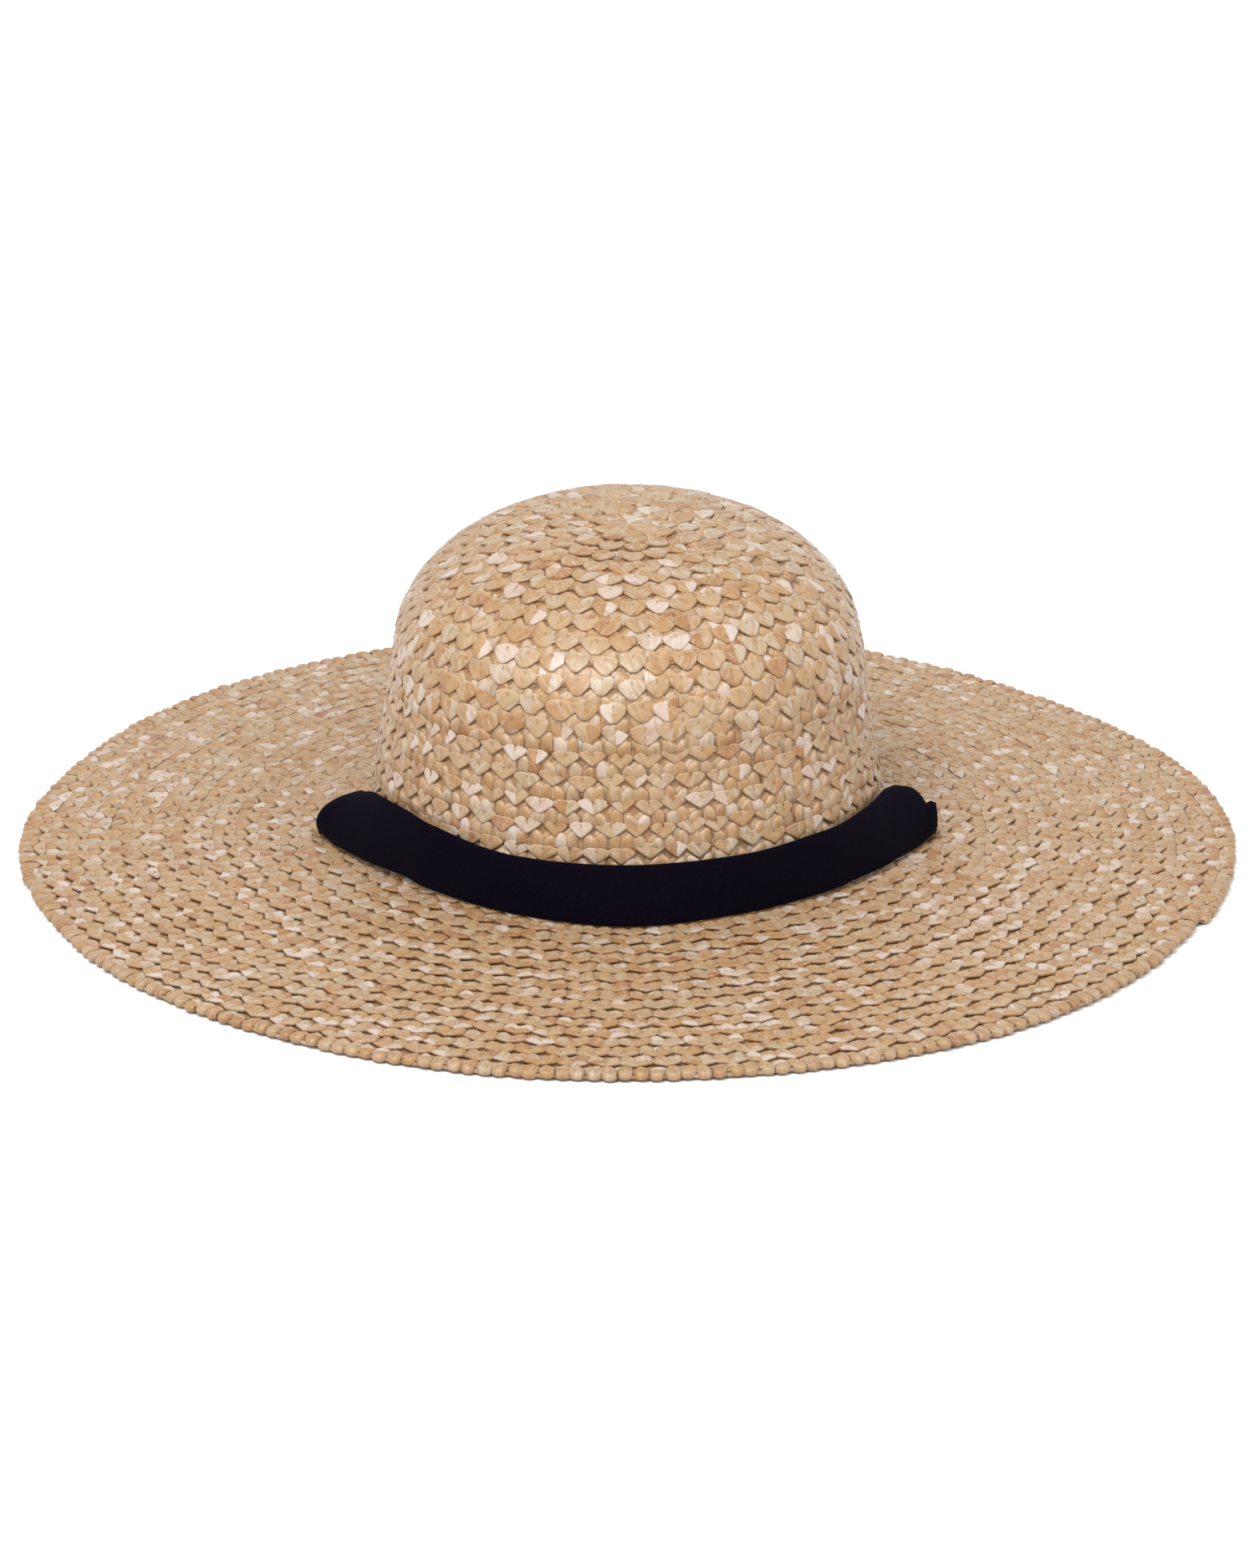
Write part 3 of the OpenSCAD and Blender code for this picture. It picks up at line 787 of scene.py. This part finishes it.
def build_tacks():
    """Stitches that hold the ribbon's ends under the brim."""
    lines = []
    for side in (-1, 1):
        for j in range(5):
            r = (96.5 + 3.6 * j) * MM
            a = -math.pi / 2 + side * math.radians(70.5)
            turn = side * np.array([-1, -0.8, -0.3, 0.3, 0.8, 1]) * 1.6 * MM / r
            z = (2.7 + np.array([0.8, 0.1, -0.12, -0.12, 0.1, 0.8])) * MM
            x, y = r * np.cos(a + turn), r * np.sin(a + turn) - HALF_STRETCH
            lines.append(np.stack([x, y, z], 1))
    obj = tubes("ribbon_tack_stitches", lines, 0.24 * MM)
    obj.data.materials.append(VELVET_THREAD)
    return join_hat(obj, "velvet_thread", "ribbon_tacks")


def build_binding(side, name, node):
    """Thread wound over the edges of one slit."""
    along, across = slit_axes(side)
    # one winding: its distance from the middle of the slit, and its height off the brim
    t = np.array([3.0, 2.3, 1.5, 1.2, 1.2, 1.5, 2.3, 3.0]) * MM
    up = np.array([1.9, 2.7, 2.6, 1.2, -1.0, -2.0, -2.3, -1.6]) * MM
    lines = []
    for edge in (-1, 1):
        for u in np.arange(SLIT_R[0], SLIT_R[1], 0.95 * MM):
            r = u + rng.normal(0, 0.1 * MM) + 0.25 * MM * np.linspace(-1, 1, 8)
            middle = BRIM_RISE - (u - FOOT_R) * (BRIM_RISE - EDGE_T / 2) / (BRIM_R - FOOT_R)
            flat = FRONT + r[:, None] * along + edge * t[:, None] * across
            lines.append(np.concatenate([flat, (middle + up)[:, None]], 1))
    obj = tubes(name, lines, 0.42 * MM)
    obj.data.materials.append(THREAD)
    return join_hat(obj, "straw_thread", node)


BAND_LOW, BAND_TOP = FOOT_S - 5 * MM, FOOT_S - 33 * MM
BAND_UP = -2.7 * MM       # it lies inside the straw
BAND_R = 88.5 * MM
BAND_T = 0.63 * MM
BAND_COLS, LAP_COLS = 1320, 31
BAND_STITCHES = 60
RIB = 0.11 * MM


def ribs(count, rows):
    """The ribs of the band, which stop at its two selvedges."""
    rib = RIB * (np.arange(count) % 2 * 2 - 1)
    return rib[:, None] * np.where((rows < 0.03) | (rows > 0.97), 0, 1)[None]


def build_sweatband():
    """The ribbed ribbon inside the head opening, its lapped join and its stitches."""
    length = 2 * math.pi * BAND_R + 4 * HALF_STRETCH
    phi = np.arange(BAND_COLS)[:, None] / BAND_COLS
    rows = np.linspace(0, 1, 11)
    s = BAND_TOP + (BAND_LOW - BAND_TOP) * rows
    ease = 0.35 * MM * np.sin(phi * 2 * math.pi * 9) * (1 - rows)[None]
    up = BAND_UP + ribs(BAND_COLS, rows) + ease.clip(-0.2 * MM)
    grid = place(s[None] + 0 * up, up, phi + 0 * up, BAND_R)
    band = cloth("grosgrain_sweatband", grid, BAND_T, closed=True)
    band.data.materials.append(GROSGRAIN)
    join_hat(band, "grosgrain", "sweatband")

    # the lap, where the band is furthest back
    share = np.linspace(0, 1, 4000, endpoint=False)
    _, sn, shift = around(share, BAND_R)
    middle = share[np.argmax(BAND_R * sn + shift)]
    phi = middle + np.linspace(-6, 6, LAP_COLS)[:, None] * MM / length
    up = BAND_UP - 1.0 * MM + ribs(LAP_COLS, rows)
    s = BAND_TOP + 1 * MM + (BAND_LOW - BAND_TOP - 5 * MM) * rows
    grid = place(s[None] + 0 * up, up, phi + 0 * up, BAND_R)
    lap = cloth("sweatband_lap", grid, 0.6 * MM)
    lap.data.materials.append(GROSGRAIN)
    join_hat(lap, "grosgrain", "sweatband_join")

    lines = []
    for j in range(BAND_STITCHES):
        phi = (j + np.array([0.2, 0.23, 0.35, 0.65, 0.77, 0.8])) / BAND_STITCHES
        phi = phi + rng.normal(0, 0.0004)
        up = BAND_UP - 0.42 * MM - np.array([-0.6, 0.1, 0.22, 0.22, 0.1, -0.6]) * MM
        s = np.full(6, BAND_LOW - 2.2 * MM + rng.normal(0, 0.15 * MM))
        lines.append(place(s, up, phi, BAND_R))
    thread = tubes("sweatband_stitches", lines, 0.27 * MM)
    thread.data.materials.append(THREAD)
    join_hat(thread, "straw_thread", "sweatband_thread")


# ---------------------------------------------------------------- materials
def new_material(name):
    """A material, its nodes, its links and its Principled shader."""
    m = bpy.data.materials.new(name)
    m.use_nodes = True
    nodes, links = m.node_tree.nodes, m.node_tree.links
    shader = nodes["Principled BSDF"]
    return m, nodes, links, shader


def srgb(r, g, b):
    """Linear colour from 8-bit sRGB numbers."""
    c = np.array([r, g, b]) / 255
    return tuple(np.where(c <= 0.04045, c / 12.92, ((c + 0.055) / 1.055) ** 2.4)) + (1,)


def ramp(nodes, links, value, stops):
    """Colours over an output, from stops of a place and a colour."""
    node = nodes.new("ShaderNodeValToRGB")
    e = node.color_ramp.elements
    while len(e) < len(stops):
        e.new(0.5)
    for item, (pos, colour) in zip(e, stops):
        item.position = pos
        item.color = colour
    links.new(value, node.inputs[0])
    return node.outputs[0]


def noise(nodes, links, vector, scale, detail=2.0):
    """Noise over a vector output, stretched by scale."""
    stretch = nodes.new("ShaderNodeMapping")
    stretch.inputs["Scale"].default_value = scale
    links.new(vector, stretch.inputs["Vector"])
    node = nodes.new("ShaderNodeTexNoise")
    node.inputs["Scale"].default_value = 1.0
    node.inputs["Detail"].default_value = detail
    links.new(stretch.outputs[0], node.inputs["Vector"])
    return node.outputs["Fac"]


def mix(nodes, links, kind, share, first, second):
    """A mix of two colours. share, first and second are numbers, colours or outputs."""
    node = nodes.new("ShaderNodeMix")
    node.data_type, node.blend_type = "RGBA", kind
    for slot_at, value in ((0, share), (6, first), (7, second)):
        if isinstance(value, (int, float, tuple)):
            node.inputs[slot_at].default_value = value
        else:
            links.new(value, node.inputs[slot_at])
    return node.outputs[2]


def attribute(nodes, name, output):
    """An output of the mesh attribute of that name."""
    node = nodes.new("ShaderNodeAttribute")
    node.attribute_name = name
    return node.outputs[output]


def grey(v):
    """A grey of that linear value."""
    return (v, v, v, 1)


def math_node(nodes, links, kind, first, second):
    """A sum on two numbers or outputs."""
    node = nodes.new("ShaderNodeMath")
    node.operation = kind
    for slot_at, value in enumerate((first, second)):
        if isinstance(value, (int, float)):
            node.inputs[slot_at].default_value = value
        else:
            links.new(value, node.inputs[slot_at])
    return node.outputs[0]


def straw_material():
    """Split straws: golden, pinkish or khaki, a few with a silvery film on part of them."""
    m, nodes, links, shader = new_material("straw")
    tone = attribute(nodes, "tone", "Fac")
    painted_light = attribute(nodes, "painted_light", "Fac")
    fibre = attribute(nodes, "fibre", "Vector")
    colour = ramp(nodes, links, tone, [
        (0.0, srgb(160, 116, 76)), (0.07, srgb(172, 134, 90)), (0.30, srgb(176, 142, 99)),
        (0.48, srgb(174, 145, 110)), (0.66, srgb(182, 152, 117)), (0.82, srgb(172, 150, 114)),
        (0.92, srgb(188, 162, 136)), (1.0, srgb(198, 178, 156))])
    streaks = noise(nodes, links, fibre, (0.10, 2.6, 1.0), 3.0)
    tint = ramp(nodes, links, streaks, [(0.3, (0.82, 0.76, 0.69, 1)), (0.5, grey(0.95))])
    colour = mix(nodes, links, "MULTIPLY", 1.0, colour, tint)
    blots = noise(nodes, links, fibre, (0.22, 0.35, 1.0))
    tint = ramp(nodes, links, blots, [(0.30, (0.84, 0.75, 0.66, 1)), (0.5, grey(1.0))])
    colour = mix(nodes, links, "MULTIPLY", 1.0, colour, tint)
    # the film lies in patches, and there is more of it on the palest straws
    silver = ramp(nodes, links, tone, [(0.70, grey(0.0)), (0.97, grey(0.26))])
    patches = noise(nodes, links, fibre, (0.2, 0.8, 3.0), 2.0)
    film = math_node(nodes, links, "ADD", patches, silver)
    film = ramp(nodes, links, film, [(0.52, grey(0.0)), (0.95, grey(0.66))])
    colour = mix(nodes, links, "MIX", film, colour, srgb(202, 193, 191))
    # painted highlight on rims and crests, where the value is below 0, and painted shade in gaps,
    # holes, corners and under folds, where it is above 0
    painted_highlight = math_node(nodes, links, "MULTIPLY", painted_light, -1.0)
    painted_highlight = math_node(nodes, links, "MAXIMUM", painted_highlight, 0.0)
    colour = mix(nodes, links, "MIX", painted_highlight, colour, srgb(205, 172, 142))
    painted_shade = math_node(nodes, links, "MAXIMUM", painted_light, 0.0)
    colour = mix(nodes, links, "MULTIPLY", painted_shade, colour, (0.56, 0.40, 0.28, 1))
    links.new(colour, shader.inputs["Base Color"])
    roughness = ramp(nodes, links, film, [(0.0, grey(0.42)), (1.0, grey(0.26))])
    links.new(roughness, shader.inputs["Roughness"])
    shader.inputs["Specular IOR Level"].default_value = 0.5
    shader.inputs["Sheen Weight"].default_value = 0.08
    shader.inputs["Sheen Roughness"].default_value = 0.4
    shader.inputs["Sheen Tint"].default_value = (0.88, 0.92, 1.0, 1)
    bump = nodes.new("ShaderNodeBump")
    bump.inputs["Strength"].default_value = 0.3
    bump.inputs["Distance"].default_value = 0.15 * MM
    links.new(streaks, bump.inputs["Height"])
    links.new(bump.outputs[0], shader.inputs["Normal"])
    return m


def cloth_material(name, stops, rough, scale, sheen=0.0, specular=0.15):
    """Cloth or thread: a fine noise of colours and a bump of the same grain."""
    m, nodes, links, shader = new_material(name)
    where = nodes.new("ShaderNodeTexCoord").outputs["Object"]
    grain = noise(nodes, links, where, scale, 3.0)
    links.new(ramp(nodes, links, grain, stops), shader.inputs["Base Color"])
    roughness = ramp(nodes, links, grain, [(0.3, grey(rough - 0.05)), (0.7, grey(rough + 0.05))])
    links.new(roughness, shader.inputs["Roughness"])
    shader.inputs["Specular IOR Level"].default_value = specular
    shader.inputs["Sheen Weight"].default_value = sheen
    shader.inputs["Sheen Roughness"].default_value = 0.4
    bump = nodes.new("ShaderNodeBump")
    bump.inputs["Strength"].default_value = 0.6
    bump.inputs["Distance"].default_value = 0.08 * MM
    links.new(grain, bump.inputs["Height"])
    links.new(bump.outputs[0], shader.inputs["Normal"])
    return m


STRAW = straw_material()
VELVET = cloth_material("velvet", [(0.3, srgb(5, 3, 11)), (0.7, srgb(15, 12, 24))],
                        0.95, (2600, 2600, 2600), 0.015, 0.03)
VELVET_THREAD = cloth_material("velvet_thread", [(0.3, srgb(24, 21, 28)), (0.7, srgb(48, 44, 54))],
                               0.8, (4000, 4000, 4000))
THREAD = cloth_material("straw_thread", [(0.3, srgb(150, 118, 84)), (0.7, srgb(188, 156, 118))],
                        0.85, (4000, 4000, 4000))
GROSGRAIN = cloth_material("grosgrain", [(0.3, srgb(186, 160, 124)), (0.7, srgb(206, 184, 150))],
                           0.8, (900, 900, 5000))

for number in range(TURNS):
    Turn(number).build()
build_start()
for part in ("crown", "brim"):
    sewn = clear_of_slits(np.concatenate(STITCHES[part]))
    stitches = tubes(f"{part}_stitches", sewn, 0.2 * MM)
    stitches.data.materials.append(THREAD)
    join_hat(stitches, "straw_thread", f"{part}_thread")
ribbon = build_ribbon()
tacks = build_tacks()
build_binding(1, "left_slit_binding", "slit_binding_left")
build_binding(-1, "right_slit_binding", "slit_binding_right")
build_sweatband()


# ---------------------------------------------------------------- stage, light and camera
def add_floor():
    """A plain pale floor just under the hat."""
    bpy.ops.mesh.primitive_plane_add(size=12, location=(0, 0, -0.2 * MM))
    floor = bpy.context.object
    floor.name = "floor"
    m, _, _, shader = new_material("floor")
    shader.inputs["Base Color"].default_value = (0.95, 0.95, 0.95, 1)
    shader.inputs["Roughness"].default_value = 0.9
    shader.inputs["Specular IOR Level"].default_value = 0.1
    floor.data.materials.append(m)


def add_area(name, place_at, size, power, aim=(0, 0, 0.05)):
    """A round soft light that points at the hat."""
    lamp = bpy.data.lights.new(name, "AREA")
    lamp.shape = "DISK"
    lamp.size = size
    lamp.energy = power
    obj = bpy.data.objects.new(name, lamp)
    bpy.context.scene.collection.objects.link(obj)
    obj.location = place_at
    obj.rotation_euler = (Vector(aim) - Vector(place_at)).to_track_quat("-Z", "Y").to_euler()


add_floor()
world = bpy.data.worlds.new("studio")
bpy.context.scene.world = world
world.use_nodes = True
sky = world.node_tree.nodes["Background"]
sky.inputs["Color"].default_value = (1, 1, 1, 1)
sky.inputs["Strength"].default_value = 0.84
add_area("key", (-0.5, -1.1, 1.75), 1.0, 30)
add_area("fill", (1.1, -1.0, 1.5), 1.2, 7)

ELEVATION = math.radians(19.9)
DISTANCE = 2.6
AIM_H = 60 * MM
AIM_BELOW = math.radians(0.76258)        # how far below that height the camera points
camera = bpy.data.cameras.new("camera")
camera.sensor_width = 36
camera.lens = 167.04
camera.clip_start, camera.clip_end = 0.1, 50
eye = bpy.data.objects.new("camera", camera)
bpy.context.scene.collection.objects.link(eye)
eye.location = (0, -DISTANCE * math.cos(ELEVATION), AIM_H + DISTANCE * math.sin(ELEVATION))
eye.rotation_euler = (math.pi / 2 - ELEVATION - AIM_BELOW, 0, 0)
bpy.context.scene.camera = eye
bpy.context.scene.view_settings.view_transform = "Standard"
